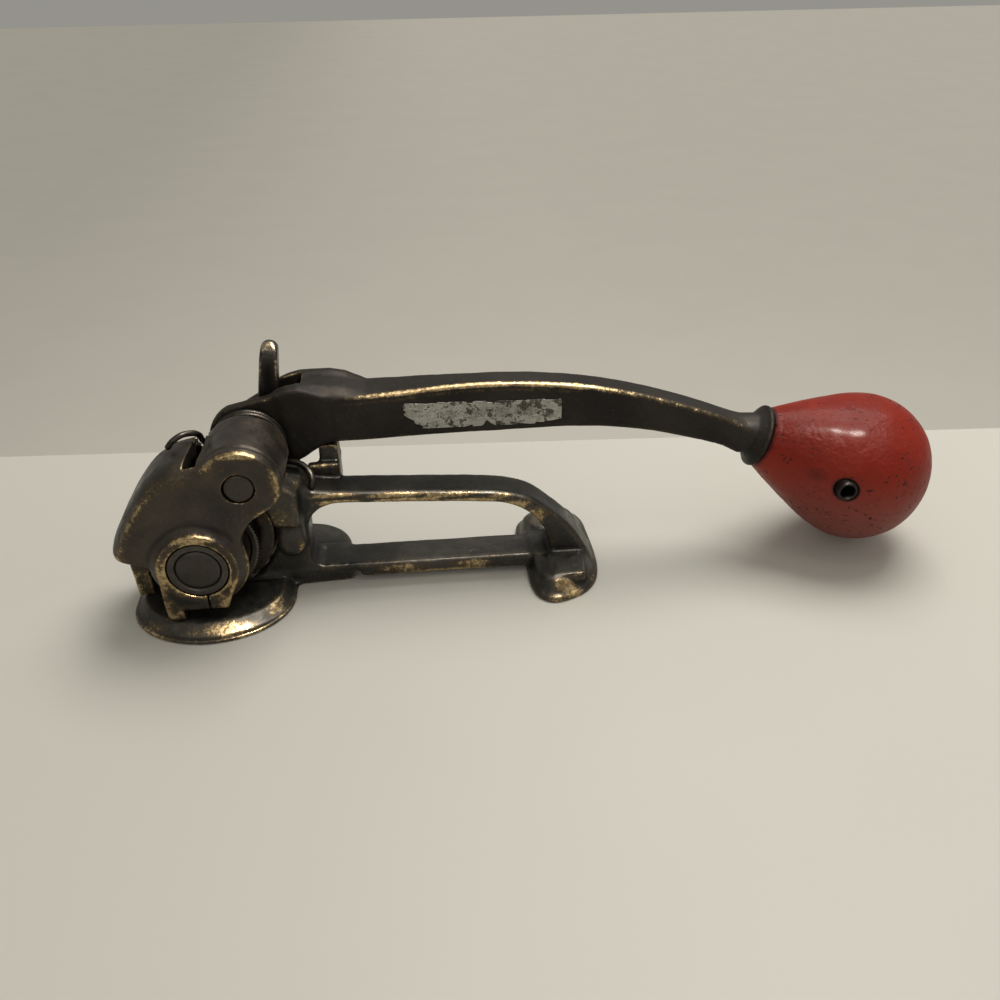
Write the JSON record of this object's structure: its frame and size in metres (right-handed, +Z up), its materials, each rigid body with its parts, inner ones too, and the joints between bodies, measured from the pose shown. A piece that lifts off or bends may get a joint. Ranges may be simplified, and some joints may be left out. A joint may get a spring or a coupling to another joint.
{
  "type": "strapping tensioner",
  "caption": "Hand-lever feedwheel tensioner for steel strap: cast base with D-shaped hand grip, spring-loaded wheel arm, ratchet lever with finger pawl and red pear-shaped knob.",
  "frame": {"origin": "on the table, at the underside of the front foot, below the feedwheel's axis and at the middle of the strap path", "axes": "+X from the feedwheel end to the knob, +Y from the open front of the head to its back, +Z up"},
  "size_m": [0.32, 0.0769, 0.0942],
  "materials": {
    "casting": "worn black finish with brass-coloured rubbed edges",
    "steel_dark": "dark worn steel",
    "steel_bright": "bare steel",
    "bronze": "oily bronze",
    "spring": "dark spring steel",
    "red_lacquer": "glossy red, dented and specked",
    "label": "worn blank label"
  },
  "bodies": {
    "base": {"base_casting": "casting", "gripper_plug": "steel_bright", "pivot_pin": "steel_dark", "pivot_lock_pin": "steel_bright", "pivot_ring": "steel_dark", "catch_pin": "steel_dark"},
    "arm": {"housing_arm": "casting", "front_bush": "steel_dark", "gear_cover": "casting", "rear_bush": "bronze", "cover_screw_1": "steel_dark", "cover_screw_2": "steel_dark", "cover_screw_3": "steel_dark", "torsion_spring": "spring"},
    "feedwheel": {"feedwheel": "steel_dark", "feedwheel_shaft": "steel_dark", "drive_key": "steel_bright", "feedwheel_gear": "steel_dark", "shaft_ring": "steel_dark"},
    "ratchet_pinion": {"ratchet_pinion": "steel_dark"},
    "lever": {"lever": "casting", "finger_pin": "steel_dark", "pawl_plunger": "steel_bright", "plunger_spring": "spring", "label_plate": "label", "knob": "red_lacquer", "knob_roll_pin": "steel_dark"},
    "drive_pawl": {"drive_pawl": "casting"},
    "catch_pawl": {"catch_pawl": "steel_dark"}
  },
  "joints": [
    {"name": "arm_lift", "type": "hinge", "parent": "base", "child": "arm", "pos_m": [0.0185, 0, 0.0585], "axis": [0, 1, 0], "range_deg": [0, 12], "stiffness_Nm_per_rad": 1.2, "springref_deg": -20.05, "deforming": ["torsion_spring"]},
    {"name": "feedwheel_spin", "type": "hinge", "parent": "arm", "child": "feedwheel", "pos_m": [0, 0, 0.0275], "axis": [0, 1, 0], "continuous": true},
    {"name": "pinion_spin", "type": "hinge", "parent": "arm", "child": "ratchet_pinion", "pos_m": [0.0185, 0, 0.0585], "axis": [0, 1, 0], "continuous": true},
    {"name": "lever_swing", "type": "hinge", "parent": "base", "child": "lever", "pos_m": [0.0185, 0, 0.0585], "axis": [0, -1, 0], "range_deg": [0, 95]},
    {"name": "drive_pawl_tilt", "type": "hinge", "parent": "lever", "child": "drive_pawl", "pos_m": [0.0315, 0.031, 0.066], "axis": [0, 1, 0], "range_deg": [0, 16], "stiffness_Nm_per_rad": 0.05, "springref_deg": -17.19},
    {"name": "catch_pawl_tilt", "type": "hinge", "parent": "base", "child": "catch_pawl", "pos_m": [0.03, 0.03, 0.04], "axis": [0, -1, 0], "range_deg": [0, 20], "stiffness_Nm_per_rad": 0.02, "springref_deg": -17.19}
  ],
  "couplings": [
    {"joint": "pinion_spin", "follows": "feedwheel_spin", "ratio": -2}
  ]
}
